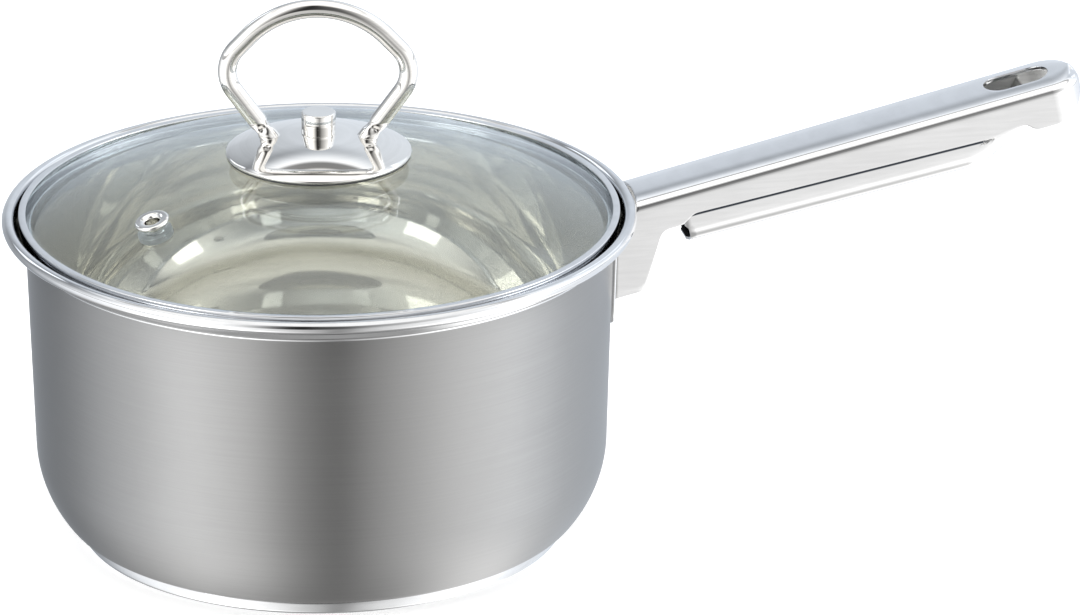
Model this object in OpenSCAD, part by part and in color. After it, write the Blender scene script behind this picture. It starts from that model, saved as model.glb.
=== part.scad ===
// Stainless steel saucepan with a stamped two-part handle and a domed glass lid.
// Millimetres, +Z up. The origin is the centre of the base, on the surface it stands on.
// The pan is a body of revolution; the handle leaves it at a small angle to +X.

/* [Pan] */
// Outside diameter of the wall, just under the rim
pan_d = 161.2; // [134:0.1:220]
// Height from the table to the top of the rim
pan_h = 92; // [76:0.5:140]
// Thickness of the steel sheet
wall_t = 0.8; // [0.6:0.05:1.2]
// Lean of the wall, inwards towards the base, in degrees
wall_lean = 1.7; // [0:0.1:3]
// Radius of the wide bend between the wall and the bottom
corner_r = 32.5; // [24:0.5:38]
// Height of the centre of the wide bend
corner_z = 26.5; // [24:0.5:30]
// Radius of the tight bend that ends on the flat bottom
heel_r = 8; // [5:0.5:12]

/* [Rim] */
// How far the rim stands out from the wall
rim_reach = 6.4; // [5.5:0.1:8]
// Diameter of the curled edge
curl_d = 3.5; // [2.6:0.1:4]
// Height of the flared part, measured from the top of the rim
flare_h = 7; // [6:0.1:9]

/* [Base] */
// How far the edge of the base lies inside the wall
base_inset = 13.3; // [10:0.1:18]
// Thickness of the aluminium core
core_t = 2.8; // [2:0.1:5]
// Thickness of the steel cap round the core
cap_t = 0.6; // [0.4:0.1:1]
// Rounding of the lower edge of the cap
cap_round = 1.2; // [0.7:0.1:2]

/* [Handle] */
// Length of the handle, from the wall to its tip
handle_l = 136; // [112:0.5:165]
// Direction of the handle, turned from +X, in degrees
handle_turn = 12; // [0:1:30]
// Upward tilt of the handle, in degrees
handle_tilt = 12.4; // [8:0.1:14]
// How far below the rim the line of the handle meets the axis of the pan
handle_drop = 20.8; // [19:0.1:24]
// Width of the cover at the wall
cover_w = 20.7; // [18:0.1:26]
// Width of the cover at the tip
tip_w = 23.4; // [20:0.1:28]
// Thickness of the cover sheet
cover_t = 1; // [0.7:0.05:1.3]
// Radius of the shoulders along the cover
shoulder_r = 2.5; // [1.5:0.1:4]
// Rise of the crown in the middle of the cover
crown_h = 1; // [0.5:0.1:1.4]
// Depth of the side walls where the insert begins
side_near = 7.2; // [6:0.1:9]
// Depth of the side walls where the insert ends
side_far = 9.8; // [7:0.1:11]
// Depth of the side walls of the tip
tip_depth = 11; // [10:0.1:13]
// Radius of the corners of the tip, seen from above
tip_round = 9.5; // [3:0.1:10]
// Depth of the bracket legs below the top of the cover
leg_depth = 25.5; // [20:0.1:28]
// Depth of the hook between the legs and the insert
hook_depth = 9.6; // [8:0.1:12]
// Length of the cover above the hook, from the wall
hook_l = 10; // [9:0.1:14]
// Length of the hanging slot
slot_l = 18.5; // [12:0.1:20]
// Width of the hanging slot
slot_w = 10.4; // [8:0.1:12]
// Metal left between the slot and the tip
slot_margin = 7.8; // [5:0.1:10]

/* [Handle insert] */
// Distance from the wall to the open end of the insert
insert_start = 18.2; // [17:0.1:24]
// Length of the full-depth part of the insert
insert_l = 83; // [60:0.5:95]
// Length of the run-out at the far end of the insert
run_out_l = 17; // [12:0.5:18]
// Depth of the insert at its open end
insert_depth = 17.1; // [13:0.1:19]
// Extra depth of the insert at its far end
insert_growth = 1.9; // [0:0.1:3]
// Thickness of the insert sheet
insert_t = 0.8; // [0.5:0.05:1]
// Radius of the lower edges of the insert
insert_r = 6.5; // [3:0.1:7.5]
// How far the insert reaches up inside the cover
insert_lap = 4.6; // [2:0.1:4.6]

/* [Handle plate] */
// Height of the plate that is welded to the wall
plate_h = 27.5; // [24:0.5:32]
// Width of that plate
plate_w = 31; // [26:0.5:36]
// Thickness of that plate
plate_t = 1.2; // [0.8:0.1:1.6]
// Distance from the rim down to the top of that plate
plate_drop = 8.5; // [8:0.1:10]

/* [Lid] */
// How far the lid ring reaches out past the wall of the pan
ring_reach = 1.8; // [1.2:0.1:2.4]
// Width of the band that grips the glass
ring_band = 2; // [1.6:0.1:2.4]
// Thickness of the ring sheet
ring_t = 0.5; // [0.3:0.05:0.6]
// Depth of the skirt that centres the lid in the pan
skirt_h = 4.6; // [3:0.1:8]
// Gap between the skirt and the inside of the wall
skirt_gap = 0.4; // [0.3:0.05:1]
// Thickness of the glass
glass_t = 2.6; // [2:0.1:3.2]
// Width of the flat edge of the glass
glass_flange = 2.4; // [2.1:0.1:3]
// Rise of the glass dome
dome_h = 17.9; // [12:0.1:22]

/* [Vent] */
// Distance of the vent from the centre of the lid
vent_at = 56; // [40:0.5:60]
// Direction of the vent, in degrees from +X
vent_turn = 218; // [0:1:359]
// Diameter of the steam hole
vent_hole_d = 4; // [3:0.1:4.6]
// Diameter of the eyelet tube
vent_tube_d = 6; // [5.4:0.1:6.6]
// Diameter of the eyelet flange
vent_flange_d = 9.6; // [9:0.1:12]
// Height of the eyelet flange
vent_flange_h = 1; // [0.6:0.1:1.4]

/* [Knob] */
// Diameter of the dished plate of the knob
dish_d = 50.8; // [44:0.1:60]
// Rise of the dished plate
dish_h = 5.3; // [4.5:0.1:7]
// Thickness of the dished plate
dish_t = 0.8; // [0.6:0.05:1]
// Thickness of the seal under the dished plate
seal_t = 0.45; // [0.3:0.05:0.8]
// Width of that seal
seal_w = 1.6; // [1:0.1:2.4]
// Diameter of the rod of the loop
rod_d = 5.2; // [4.5:0.1:6]
// Outside width of the loop
loop_w = 54.6; // [50:0.1:60]
// Radius of the bends at the sides, along the middle of the rod
loop_side_r = 9.6; // [8:0.1:11]
// Radius of the bend at the top, along the middle of the rod
loop_top_r = 26; // [24:0.1:28]
// Slope of the straight shoulders of the loop, in degrees
loop_slope = 46.5; // [42:0.5:52]
// Inward lean of the legs, in degrees
loop_leg_lean = 35.7; // [33:0.1:38]
// Distance of each foot of the loop from the centre of the knob
foot_at = 13.4; // [12:0.1:15]
// Height of the pinch above the dished plate
pinch_h = 2.6; // [2:0.1:4]
// Depth of the pinch
pinch_depth = 0.9; // [0.4:0.1:1.2]

/* [Knob fastening] */
// Diameter of the cap nut
nut_d = 9.4; // [8:0.1:12]
// Height of the cap nut
nut_h = 5.8; // [5:0.1:8]
// Diameter of the screw
screw_d = 4; // [3:0.5:5]
// Diameter of the screw head
head_d = 8.4; // [7:0.1:9]
// Height of the screw head
head_h = 2.6; // [2:0.1:3.4]
// Diameter of the steel washer
washer_d = 16; // [13:0.5:20]
// Thickness of the steel washer
washer_t = 1; // [0.6:0.1:1.5]
// Thickness of the silicone pad under the glass
pad_t = 1.5; // [1:0.1:2.5]
// Width by which the silicone pad shows round the washer
pad_edge = 1; // [0.5:0.1:2]
// Diameter of the hole in the middle of the glass
glass_hole_d = 8; // [7.4:0.1:10]

/* [Clearances] */
// Gap between the lid ring and its seat
seat_gap = 0.05; // [0.02:0.01:0.1]
// Gap between the cover and the curled rim
rim_gap = 0.4; // [0.3:0.05:0.6]
// Gap between the screw and the pieces it passes through
screw_gap = 0.15; // [0.1:0.05:0.3]
// Gap between rubber sleeves or eyelets and the glass
sleeve_gap = 0.1; // [0.05:0.05:0.2]

/* [Hidden] */
$fn = 96;
// Roundness of the wide domes
fine = 720;
// Overshoot of cutting shapes
cut = 1;

// Pan section, in radius and height
pan_r = pan_d / 2;
curl_r = curl_d / 2;
rim_r = pan_r + rim_reach;
curl_at = [rim_r - curl_r, pan_h - curl_r];
flare_z = pan_h - flare_h;
bottom_z = cap_t + core_t;
corner_at = [wall_r(corner_z) - corner_r / cos(wall_lean), corner_z];
heel_drop = corner_z - bottom_z - heel_r;
heel_angle = asin(heel_drop / (corner_r - heel_r));
heel_at = corner_at + (corner_r - heel_r) * [cos(heel_angle), -sin(heel_angle)];
base_r = pan_r - base_inset;

// Handle, measured along its own line from the axis of the pan
root_s = pan_r / cos(handle_tilt);
tip_s = root_s + handle_l;
taper = atan((tip_w - cover_w) / 2 / handle_l);
crown_r = (pow(cover_w / 2, 2) + pow(crown_h, 2)) / (2 * crown_h);
insert_s = root_s + insert_start;
insert_end = insert_s + insert_l;
run_out_end = insert_end + run_out_l;
insert_slope = atan(insert_growth / insert_l);
// Radius of the nose of the tip, seen from the side
nose_r = 10;
// Line of the run-out: share of its length, and rise above the depth of the insert
run_out = [[0.26, -0.9], [0.53, 1.6], [0.74, 3.6]];

// Lid section
ring_r = pan_r + ring_reach;
seat_slope = (curl_at[1] - flare_z) / (curl_at[0] - curl_r - pan_r + wall_t);
seat_z = flare_z + (ring_r - pan_r + wall_t) * seat_slope + seat_gap;
skirt_r = pan_r - wall_t - skirt_gap;
glass_r = ring_r - ring_t;
glass_z = seat_z + ring_t;
dome_r = glass_r - glass_flange;
dome_ball = (dome_r * dome_r + dome_h * dome_h) / (2 * dome_h);
glass_top = glass_z + glass_t + dome_h;
glass_under = glass_top - glass_t;
ball_z = glass_top - dome_ball;
vent_lean = asin(vent_at / dome_ball);

// Knob: the dished plate stands on its seal, the loop and the nut on the plate
dish_r = dish_d / 2;
dish_ball = (dish_r * dish_r + dish_h * dish_h) / (2 * dish_h);
seal_r = dish_r - 0.2;
seal_in = seal_r - seal_w;
dish_foot = glass_at(dish_r) + seal_t;
dish_ball_z = dish_foot - sqrt(pow(dish_ball - dish_t, 2) - pow(dish_r, 2));
dish_top = dish_ball_z + dish_ball;
rod_r = rod_d / 2;
side_x = loop_w / 2 - rod_r - loop_side_r;
leg_dx = side_x + loop_side_r * cos(loop_leg_lean) - foot_at;
leg_l = leg_dx / sin(loop_leg_lean);
foot_z = dish_ball_z + sqrt(pow(dish_ball, 2) - pow(foot_at, 2));
side_z = foot_z + leg_l * cos(loop_leg_lean) + loop_side_r * sin(loop_leg_lean);
leg_top = [side_x + loop_side_r * cos(loop_leg_lean), side_z - loop_side_r * sin(loop_leg_lean)];
leg_steps = 22;
rod_sides = 24;
arch_gap = (loop_top_r - loop_side_r - side_x * sin(loop_slope)) / cos(loop_slope);
arch_z = side_z - arch_gap;
nut_wall = 1.4;
head_z = glass_under - pad_t - washer_t - head_h;

// Radius of the outside of the wall at a height
function wall_r(z) = pan_r - (flare_z - z) * tan(wall_lean);

// Height of the top of the glass at a distance from its centre
function glass_at(r) = ball_z + sqrt(pow(dome_ball, 2) - pow(r, 2));

// Points along an arc
function arc(centre, r, from, to, steps = 8) =
    [for (i = [0 : steps]) let (a = from + (to - from) * i / steps) centre + r * [cos(a), sin(a)]];

// The same points in the opposite order
function backwards(points) = [for (i = [len(points) - 1 : -1 : 0]) points[i]];

// Section line of the pan from the flare down to the axis, set in from the outside
function pan_line(inset) = concat(
    [[pan_r - inset, flare_z]],
    arc(corner_at, corner_r - inset, -wall_lean, -heel_angle, 12),
    arc(heel_at, heel_r - inset, -heel_angle, -90, 8),
    [[0, bottom_z + inset]]);

// Puts children on the line of the handle: X along it, Y across it, Z out of its top
module on_handle() {
    translate([0, 0, pan_h - handle_drop])
        rotate([0, -handle_tilt, handle_turn])
            children();
}

// Extrudes an outline drawn in X and Z across the handle
module across_handle(width) {
    rotate([90, 0, 0])
        linear_extrude(height = width, center = true)
            children();
}

// Extrudes a section drawn in Y and Z along the handle, from both sides, following its taper
module tapered_sides() {
    intersection_for (side = [0, 1])
        mirror([0, side, 0])
            translate([root_s, cover_w / 2, 0])
                rotate([0, 0, taper])
                    translate([-root_s / 3, 0, 0])
                        rotate([90, 0, 90])
                            linear_extrude(height = handle_l + root_s / 2)
                                children();
}

// Puts children on the glass at the vent, with Z square to the glass
module at_vent() {
    rotate([0, 0, vent_turn])
        translate([0, 0, ball_z])
            rotate([0, vent_lean, 0])
                translate([0, 0, dome_ball])
                    children();
}

// Deep-drawn body: leaning wall, two-part bend, flat bottom, flare and curled rim
module pan_shell() {
    color("gainsboro")
        rotate_extrude()
            polygon(concat(
                backwards(pan_line(0)),
                [curl_at + [wall_t - curl_r, -wall_t]],
                arc(curl_at, curl_r - wall_t, 180, -100, 20),
                arc(curl_at, curl_r, -100, 180, 20),
                pan_line(wall_t)));
}

// Aluminium disc that spreads the heat, sealed inside the cap
module base_core() {
    color("silver")
        translate([0, 0, cap_t])
            cylinder(r = base_r - cap_t, h = core_t);
}

// Steel cap round the core, trimmed where it meets the bend of the pan
module base_cap() {
    height = bottom_z + corner_r - sqrt(pow(corner_r, 2) - pow(base_inset, 2));
    color("whitesmoke")
        difference() {
            rotate_extrude()
                polygon(concat([[0, 0]], arc([base_r - cap_round, cap_round], cap_round, -90, 0, 6),
                    [[base_r, height], [0, height]]));
            translate([0, 0, cap_t])
                cylinder(r = base_r - cap_t, h = height);
            rotate_extrude()
                polygon(concat(pan_line(0), [[0, flare_z]]));
        }
}

// Plate that follows the wall and carries the bracket legs
module handle_plate() {
    high = pan_h - plate_drop;
    low = high - plate_h;
    half = asin(plate_w / 2 / pan_r);
    color("lightgray")
        rotate([0, 0, handle_turn - half])
            rotate_extrude(angle = 2 * half)
                polygon([[wall_r(low), low], [wall_r(low) + plate_t, low],
                    [wall_r(high) + plate_t, high], [wall_r(high), high]]);
}

// Section of one side of the cover, drawn from its outer corner
module cover_side(inset) {
    r = shoulder_r - inset;
    deep = 2 * leg_depth;
    rise = 80;
    polygon(concat(
        [[-deep, -deep], [-inset, -deep]],
        arc([-shoulder_r, -shoulder_r], r, 0, rise, 5),
        [[-deep, -shoulder_r + r * sin(rise) + (deep - shoulder_r) / tan(rise)]]));
}

// Side outline of the cover: bracket legs, hook, seam edge and rounded tip
module cover_outline() {
    leg_end = root_s + 3.9;
    leg_round = 2;
    hook_round = 4;
    seam_round = 3;
    seam_start = insert_s + 4;
    step_end = run_out_end + 1.4;
    step_rise = 1.2;
    polygon(concat(
        [[0, crown_h], [0, -leg_depth]],
        arc([leg_end - leg_round, leg_round - leg_depth], leg_round, -90, -30, 5),
        arc([root_s + hook_l + hook_round, -hook_depth - hook_round], hook_round, 150, 90, 6),
        [[insert_s - step_rise / 2, -hook_depth]],
        arc([seam_start, -side_near - seam_round], seam_round, 130, 90, 4),
        [[step_end - 10 * step_rise, -side_far], [step_end - 4 * step_rise, step_rise - side_far]],
        [[step_end - 2 * step_rise, step_rise - side_far], [step_end, -tip_depth]],
        arc([tip_s - nose_r, nose_r - tip_depth], nose_r, -90, 0, 10),
        [[tip_s, crown_h]]));
}

// Solid with the outer shape of the cover, or its hollow when set in by the sheet
module cover_block(inset) {
    intersection() {
        tapered_sides()
            cover_side(inset);
        rotate([90, 0, 90])
            translate([0, crown_h - crown_r, 0])
                linear_extrude(height = 2 * tip_s)
                    circle(r = crown_r - inset, $fn = fine);
        translate([0, 0, -2 * leg_depth])
            linear_extrude(height = 3 * leg_depth)
                polygon(concat([[0, -tip_w], [root_s, -tip_w], [tip_s - tip_round, inset - tip_w / 2]],
                    arc([tip_s - tip_round, tip_round - tip_w / 2], tip_round - inset, -90, 0, 6),
                    arc([tip_s - tip_round, tip_w / 2 - tip_round], tip_round - inset, 0, 90, 6),
                    [[root_s, tip_w], [0, tip_w]]));
    }
}

// Space kept by the pan, the plate and the rim at the root of the handle
module root_space() {
    high = pan_h - plate_drop;
    under = pan_h - curl_d - rim_gap;
    rotate_extrude()
        polygon([[0, 0], [wall_r(0) + plate_t, 0], [wall_r(high) + plate_t, high],
            [rim_r - curl_d + wall_t + rim_gap, under], [rim_r + rim_gap, under],
            [rim_r + rim_gap, 2 * pan_h], [0, 2 * pan_h]]);
}

// Stamped cover: a channel that is open below, with a hanging slot near its tip
module handle_cover() {
    end_s = tip_s - slot_margin - slot_w / 2;
    color("ghostwhite")
        difference() {
            on_handle()
                difference() {
                    intersection() {
                        cover_block(0);
                        across_handle(2 * tip_w)
                            cover_outline();
                    }
                    intersection() {
                        cover_block(cover_t);
                        across_handle(2 * tip_w)
                            polygon(concat([[0, crown_h], [0, -2 * leg_depth]],
                                [[tip_s - nose_r, -2 * leg_depth]],
                                arc([tip_s - nose_r, nose_r - tip_depth],
                                    nose_r - cover_t, -90, 0, 10),
                                [[tip_s - cover_t, crown_h]]));
                    }
                    for (s = [end_s, end_s - slot_l + slot_w])
                        translate([s, 0, -side_near])
                            cylinder(d = slot_w, h = 2 * side_near);
                    translate([end_s - (slot_l - slot_w), -slot_w / 2, -side_near])
                        cube([slot_l - slot_w, slot_w, 2 * side_near]);
                }
            root_space();
        }
}

// Section of one side of the insert, drawn from the outer corner of the cover
module insert_side(inset) {
    wide = 2 * leg_depth;
    side = cover_t + inset;
    bend = [-cover_t - insert_r, insert_r - insert_depth];
    polygon(concat([[-wide, inset - insert_depth]],
        arc(bend, insert_r - inset, -90, 0, 8),
        [[-side, wide], [-wide, wide]]));
}

// Channel that closes the underside of the handle; its near end is open
module handle_insert() {
    top = insert_lap - side_near;
    mouth_slant = 1.1;
    color("lightgray")
        on_handle()
            intersection() {
                translate([insert_s, 0, 0])
                    rotate([0, insert_slope, 0])
                        translate([-insert_s, 0, 0])
                            difference() {
                                tapered_sides()
                                    insert_side(0);
                                tapered_sides()
                                    insert_side(insert_t);
                            }
                across_handle(2 * tip_w)
                    polygon(concat(
                        [[insert_s, top], [insert_s, -hook_depth],
                            [insert_s + mouth_slant, -2 * insert_depth],
                            [insert_end, -2 * insert_depth],
                            [insert_end, -insert_depth - insert_growth]],
                        [for (p = run_out) [insert_end + p[0] * run_out_l, p[1] - insert_depth]],
                        [[run_out_end, -tip_depth - cover_t], [run_out_end + cover_t, -side_near],
                            [run_out_end + insert_lap, top]]));
            }
}

// Section of the glass: a domed shell with a flat edge
module glass_section() {
    difference() {
        union() {
            intersection() {
                translate([0, ball_z])
                    circle(r = dome_ball, $fn = fine);
                translate([0, glass_z])
                    square([dome_r, dome_h + glass_t]);
            }
            translate([0, glass_z])
                square([glass_r, glass_t]);
        }
        translate([0, ball_z])
            circle(r = dome_ball - glass_t, $fn = fine);
    }
}

// Tempered glass dome with a hole for the knob and one for the vent
module lid_glass() {
    color("lightsteelblue", 0.4)
        difference() {
            rotate_extrude()
                glass_section();
            translate([0, 0, glass_z])
                cylinder(d = glass_hole_d, h = glass_top);
            at_vent()
                translate([0, 0, -2 * glass_t])
                    cylinder(d = vent_tube_d + 2 * sleeve_gap, h = 4 * glass_t);
        }
}

// Ring that grips the edge of the glass, with a skirt that drops into the pan
module lid_ring() {
    color("whitesmoke")
        rotate_extrude() {
            translate([skirt_r - ring_t, seat_z - skirt_h])
                square([ring_t, skirt_h + ring_t]);
            translate([skirt_r - ring_t, seat_z])
                square([ring_r - skirt_r + ring_t, ring_t]);
            translate([ring_r - ring_t, seat_z])
                square([ring_t, glass_t + 2 * ring_t]);
            translate([ring_r - ring_band, seat_z + glass_t + ring_t])
                square([ring_band, ring_t]);
        }
}

// Eyelet that lines the steam hole, flanged on top and swaged over the washer below
module vent_eyelet() {
    bore_r = vent_hole_d / 2;
    tube_r = vent_tube_d / 2;
    low = -glass_t - 2.2;
    lip = vent_flange_h / 2;
    color("whitesmoke")
        at_vent()
            rotate_extrude()
                polygon(concat([[bore_r, low], [tube_r + 0.6, low], [tube_r + 0.6, low + 0.5],
                    [tube_r, low + 0.5], [tube_r, 0], [vent_flange_d / 2, 0]],
                    arc([vent_flange_d / 2 - lip, lip], lip, 0, 90, 4),
                    [[bore_r + 0.6, vent_flange_h], [bore_r, vent_flange_h - 0.6]]));
}

// Soft washer between the glass and the swaged end of the eyelet
module vent_washer() {
    color("darkgray")
        at_vent()
            translate([0, 0, -glass_t - 1.7])
                difference() {
                    cylinder(d = vent_flange_d, h = 1.6);
                    translate([0, 0, -cut])
                        cylinder(d = vent_tube_d, h = 1.6 + 2 * cut);
                }
}

// Dished plate of the knob, its edge down on the seal
module knob_plate() {
    hole_r = screw_d / 2 + screw_gap;
    wide = 4 * dish_ball;
    color("whitesmoke")
        translate([0, 0, dish_ball_z])
            rotate_extrude()
                difference() {
                    circle(r = dish_ball, $fn = fine);
                    circle(r = dish_ball - dish_t, $fn = fine);
                    translate([hole_r - wide, -wide / 2])
                        square(wide);
                    translate([dish_r, -wide / 2])
                        square(wide);
                    translate([-wide / 2, dish_foot - dish_ball_z - wide])
                        square(wide);
                }
}

// Silicone ring between the dished plate and the glass
module knob_seal() {
    color("dimgray")
        rotate_extrude()
            polygon([[seal_in, glass_at(seal_in)], [seal_r, glass_at(seal_r)],
                [seal_r, dish_foot], [seal_in, dish_foot]]);
}

// Half of the rod's path, from the top of the arch to the foot: [point, direction square to it]
function loop_path() = concat(
    [for (i = [0 : 7]) let (a = 90 - loop_slope * i / 8)
        [[0, arch_z] + loop_top_r * [cos(a), sin(a)], a]],
    [for (i = [0 : 14]) let (a = 90 - loop_slope - (90 - loop_slope + loop_leg_lean) * i / 14)
        [[side_x, side_z] + loop_side_r * [cos(a), sin(a)], a]],
    [for (i = [1 : leg_steps]) let (d = i / leg_steps * (leg_l + rod_r))
        [leg_top - d * [sin(loop_leg_lean), cos(loop_leg_lean)], -loop_leg_lean]]);

// How far the pinch presses the rod in, at a height above the foot
function pinch_at(up) = pinch_depth * exp(-pow((up - pinch_h) / 0.9, 2));

// One ring of points round the rod, its four grooves deepest at the pinch
function rod_ring(place, side) = [for (i = [0 : rod_sides - 1])
    let (a = 360 * i / rod_sides,
        r = rod_r - pinch_at(place[0][1] - foot_z) * (1 + 0.6 * cos(4 * a)) / 1.6,
        across = r * cos(a),
        point = place[0] + across * [cos(place[1]), sin(place[1])])
    [side * point[0], r * sin(a), point[1]]];

// Bent rod loop; its feet are pinched and welded to the dished plate
module knob_loop() {
    path = loop_path();
    last = len(path) - 1;
    rings = concat(
        [for (i = [last : -1 : 0]) rod_ring(path[i], -1)],
        [for (i = [1 : last]) rod_ring(path[i], 1)]);
    points = [for (ring = rings) for (point = ring) point];
    count = len(rings);
    walls = [for (i = [0 : count - 2]) for (j = [0 : rod_sides - 1])
        let (k = (j + 1) % rod_sides, m = i * rod_sides)
        for (face = [[m + j, m + k, m + k + rod_sides], [m + j, m + k + rod_sides, m + j + rod_sides]])
            face];
    ends = [[for (j = [rod_sides - 1 : -1 : 0]) j],
        [for (j = [0 : rod_sides - 1]) (count - 1) * rod_sides + j]];
    color("whitesmoke")
        difference() {
            polyhedron(points = points, faces = concat(walls, ends));
            translate([0, 0, dish_ball_z])
                sphere(r = dish_ball, $fn = fine);
        }
}

// Closed nut that shows in the middle of the knob
module cap_nut() {
    bevel = 0.3;
    low = dish_top - dish_h / 2;
    top = dish_top + nut_h;
    color("gainsboro")
        difference() {
            rotate_extrude()
                difference() {
                    polygon([[0, low], [nut_d / 2, low], [nut_d / 2, top - bevel],
                        [nut_d / 2 - bevel, top], [0, top]]);
                    translate([0, dish_ball_z])
                        circle(r = dish_ball, $fn = fine);
                }
            translate([0, 0, low])
                cylinder(d = screw_d, h = top - nut_wall - low);
        }
}

// Screw with a domed head and a cross recess, put in from inside the lid
module lid_screw() {
    arm = 0.36 * head_d;
    slot = 0.16 * head_d;
    color("silver")
        difference() {
            union() {
                translate([0, 0, head_z + head_h / 2])
                    cylinder(d = head_d, h = head_h / 2);
                translate([0, 0, head_z])
                    cylinder(d1 = 0.7 * head_d, d2 = head_d, h = head_h / 2);
                translate([0, 0, head_z + head_h / 2])
                    cylinder(d = screw_d, h = dish_top + nut_h - nut_wall - 1 - head_z - head_h / 2);
            }
            for (turn = [0, 90])
                rotate([0, 0, turn])
                    translate([-arm, -slot / 2, head_z - cut])
                        cube([2 * arm, slot, 0.55 * head_h + cut]);
        }
}

// Steel washer between the screw head and the silicone pad
module screw_washer() {
    color("silver")
        translate([0, 0, head_z + head_h])
            difference() {
                cylinder(d = washer_d, h = washer_t);
                translate([0, 0, -cut])
                    cylinder(d = screw_d + 2 * screw_gap, h = washer_t + 2 * cut);
            }
}

// Silicone pad under the glass, with a sleeve that lines the hole
module glass_pad() {
    low = head_z + head_h + washer_t;
    color("dimgray")
        difference() {
            rotate_extrude() {
                intersection() {
                    translate([0, low])
                        square([washer_d / 2 + pad_edge, pad_t]);
                    translate([0, ball_z])
                        circle(r = dome_ball - glass_t, $fn = fine);
                }
                translate([0, low])
                    square([glass_hole_d / 2 - sleeve_gap, pad_t + glass_t]);
            }
            translate([0, 0, low - cut])
                cylinder(d = screw_d + 2 * screw_gap, h = pad_t + glass_t + 2 * cut);
        }
}

pan_shell();
base_core();
base_cap();
handle_plate();
handle_cover();
handle_insert();
lid_glass();
lid_ring();
vent_eyelet();
vent_washer();
knob_plate();
knob_seal();
knob_loop();
cap_nut();
lid_screw();
screw_washer();
glass_pad();
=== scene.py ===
# %% [markdown]
# # A stainless steel saucepan with a glass lid
# The pan is one deep-drawn shell with a curled rim and a thick base. Its handle is stamped
# sheet, and its lid is a glass dome with a steel ring, a steam vent and a chromed loop to lift it.
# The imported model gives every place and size. This lesson dresses it: it spins, sweeps and
# lofts finer surfaces where polished steel would show every facet, and it mixes the finishes.

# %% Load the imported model
import math
import bpy
import bmesh
from mathutils import Matrix, Vector


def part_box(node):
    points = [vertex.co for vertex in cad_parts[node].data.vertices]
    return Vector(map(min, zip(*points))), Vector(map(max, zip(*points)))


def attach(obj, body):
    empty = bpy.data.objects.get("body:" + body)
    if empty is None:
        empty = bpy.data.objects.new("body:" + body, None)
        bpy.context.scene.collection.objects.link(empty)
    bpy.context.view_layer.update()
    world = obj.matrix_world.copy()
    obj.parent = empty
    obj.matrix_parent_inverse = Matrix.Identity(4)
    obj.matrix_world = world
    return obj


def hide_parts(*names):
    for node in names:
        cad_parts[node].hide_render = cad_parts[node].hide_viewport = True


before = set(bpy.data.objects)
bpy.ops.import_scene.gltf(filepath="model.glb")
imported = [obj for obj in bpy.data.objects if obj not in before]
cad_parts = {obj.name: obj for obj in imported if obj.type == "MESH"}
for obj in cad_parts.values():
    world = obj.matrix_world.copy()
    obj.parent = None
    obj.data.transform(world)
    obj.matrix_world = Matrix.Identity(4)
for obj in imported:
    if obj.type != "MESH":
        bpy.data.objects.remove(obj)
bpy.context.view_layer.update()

MM = 0.001

# %% [markdown]
# ## The camera
# A long lens from far away keeps the circles of the rim and the base close to true ellipses.
# It stands in front of the pan, a little above it, and looks down by about 21 degrees.

# %% Set up the camera
LOOK_DOWN = math.radians(21.307)
DISTANCE = 2.2804
LENS = 276.24
look_at = Vector((0.06041, 0.0, 0.06298))

camera_data = bpy.data.cameras.new("studio_camera")
camera_data.lens = LENS
camera_data.sensor_width = 36
camera_data.clip_end = 50
camera = bpy.data.objects.new("studio_camera", camera_data)
camera.location = look_at + DISTANCE * Vector((0, -math.cos(LOOK_DOWN), math.sin(LOOK_DOWN)))
camera.rotation_euler = (math.pi / 2 - LOOK_DOWN, 0, 0)
bpy.context.collection.objects.link(camera)
bpy.context.scene.camera = camera
print("camera at", [round(v, 3) for v in camera.location])

# %% [markdown]
# ## A helper for node trees
# Every finish and the studio light are built from shader nodes. Two small helpers keep those
# cells readable: one adds a node and plugs in its inputs, the other does one step of maths.

# %% Helpers for nodes
def add_node(tree, kind, inputs=None, **settings):
    """Adds a node. An input is either a plain value or the output of another node."""
    made = tree.nodes.new(kind)
    for name, value in settings.items():
        setattr(made, name, value)
    for key, value in (inputs or {}).items():
        if isinstance(value, bpy.types.NodeSocket):
            tree.links.new(value, made.inputs[key])
        else:
            made.inputs[key].default_value = value
    return made


def maths(tree, operation, *values):
    """One Math node, and its output."""
    return add_node(tree, "ShaderNodeMath", dict(enumerate(values)), operation=operation).outputs[0]


def blend_of(tree, share, first, second):
    """Goes from the first number or colour to the second as share goes from 0 to 1."""
    colour = not isinstance(second, (int, float)) and (
        not isinstance(second, bpy.types.NodeSocket) or second.type == "RGBA")
    if colour:
        made = add_node(tree, "ShaderNodeMix", {0: share, 6: first, 7: second}, data_type="RGBA")
        return made.outputs[2]
    made = add_node(tree, "ShaderNodeMix", {0: share, 2: first, 3: second}, data_type="FLOAT")
    return made.outputs[0]


def between(tree, value, low, high):
    """Rises smoothly from 0 at low to 1 at high."""
    step = add_node(tree, "ShaderNodeMapRange", {"Value": value, "From Min": low, "From Max": high},
                    interpolation_type="SMOOTHSTEP")
    return step.outputs[0]


print("helpers ready")

# %% [markdown]
# ## The studio light
# Polished steel shows its surroundings, so the surroundings are the lighting. A real studio
# has large windows of cloth in front of lamps. Here they are soft glows on the sky: one at the
# front left, a wider one at the right, a big one overhead, and a dark strip near the horizon
# that draws thin dark lines in the chrome.

# %% Build the light around the pan
world = bpy.data.worlds.new("studio")
bpy.context.scene.world = world
world.use_nodes = True
sky = world.node_tree
sky.nodes.clear()

towards = add_node(sky, "ShaderNodeTexCoord").outputs["Generated"]
parts = add_node(sky, "ShaderNodeSeparateXYZ", {0: towards})
front = maths(sky, "MULTIPLY", parts.outputs["Y"], -1.0)
turn = maths(sky, "ARCTAN2", parts.outputs["X"], front)
lift = maths(sky, "ARCSINE", parts.outputs["Z"])


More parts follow.
